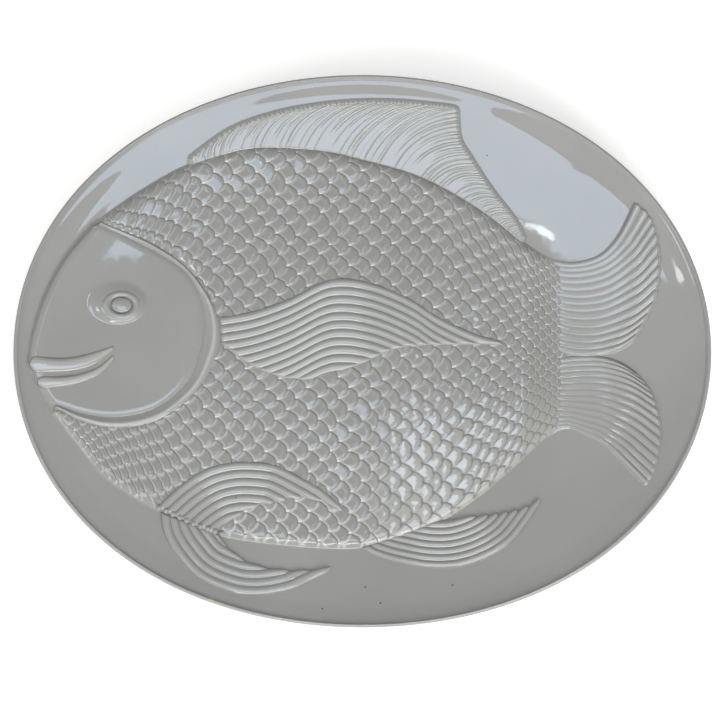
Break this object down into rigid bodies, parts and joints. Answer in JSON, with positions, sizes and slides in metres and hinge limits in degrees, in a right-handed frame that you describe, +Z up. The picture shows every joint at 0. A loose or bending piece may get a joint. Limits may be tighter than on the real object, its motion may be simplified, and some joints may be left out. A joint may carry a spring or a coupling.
{
  "type": "oval serving platter",
  "caption": "Oval glazed ceramic serving platter with a rounded lip, a foot ring and a large fish in raised relief with scales and rayed fins.",
  "frame": {"origin": "middle of the foot ring's underside, on the table, under the middle of the oval", "axes": "+X along the long axis towards the fish's tail, +Y across it towards the fish's back, +Z up out of the dish"},
  "size_m": [0.4, 0.323, 0.0261],
  "materials": {
    "white_glaze": "gloss pale grey-white glaze over cream clay, thin and light on edges, pooled in creases",
    "bare_clay": "unglazed fired clay, matte"
  },
  "bodies": {
    "root": {"platter": "white_glaze", "foot_ring": "bare_clay", "fish_body": "white_glaze", "fish_head": "white_glaze", "gill_cover": "white_glaze", "upper_lip": "white_glaze", "lower_lip": "white_glaze", "eye_rim": "white_glaze", "pupil": "white_glaze", "dorsal_fin": "white_glaze", "pectoral_fin": "white_glaze", "tail_upper_lobe": "white_glaze", "tail_lower_lobe": "white_glaze", "pelvic_fin_near": "white_glaze", "pelvic_fin_far": "white_glaze", "anal_fin": "white_glaze"}
  },
  "joints": []
}
